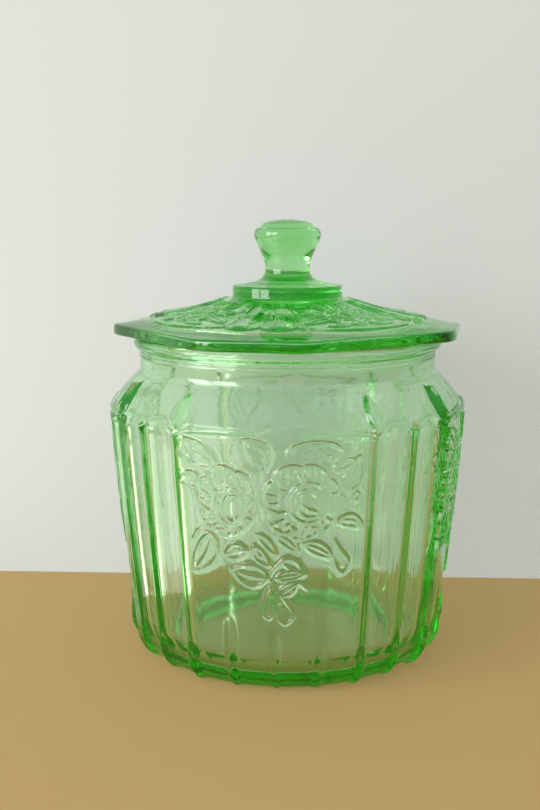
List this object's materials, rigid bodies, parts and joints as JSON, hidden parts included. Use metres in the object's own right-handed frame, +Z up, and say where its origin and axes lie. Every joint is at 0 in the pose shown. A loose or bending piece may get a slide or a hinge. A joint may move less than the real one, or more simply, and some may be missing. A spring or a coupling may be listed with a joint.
{
  "type": "lidded pressed-glass jar",
  "caption": "Green pressed-glass storage jar with ribs, flutes and raised rose panels, and a lift-off eight-sided lid with a turned knob.",
  "frame": {"origin": "middle of the foot ring that the jar stands on", "axes": "+Z up along the jar's axis, -Y out of the middle of the front panel, +X to the right seen from the front"},
  "size_m": [0.1456, 0.1456, 0.1779],
  "materials": {
    "green_glass": "clear pressed glass, fire polished, thin green where it is thin and deep green where it is thick"
  },
  "bodies": {
    "jar": {"jar_body": "green_glass"},
    "lid": {"lid": "green_glass"}
  },
  "joints": [
    {"name": "lid_lift", "type": "slide", "parent": "jar", "child": "lid", "axis": [0, 0, 1], "range_m": [0, 0.08]}
  ]
}
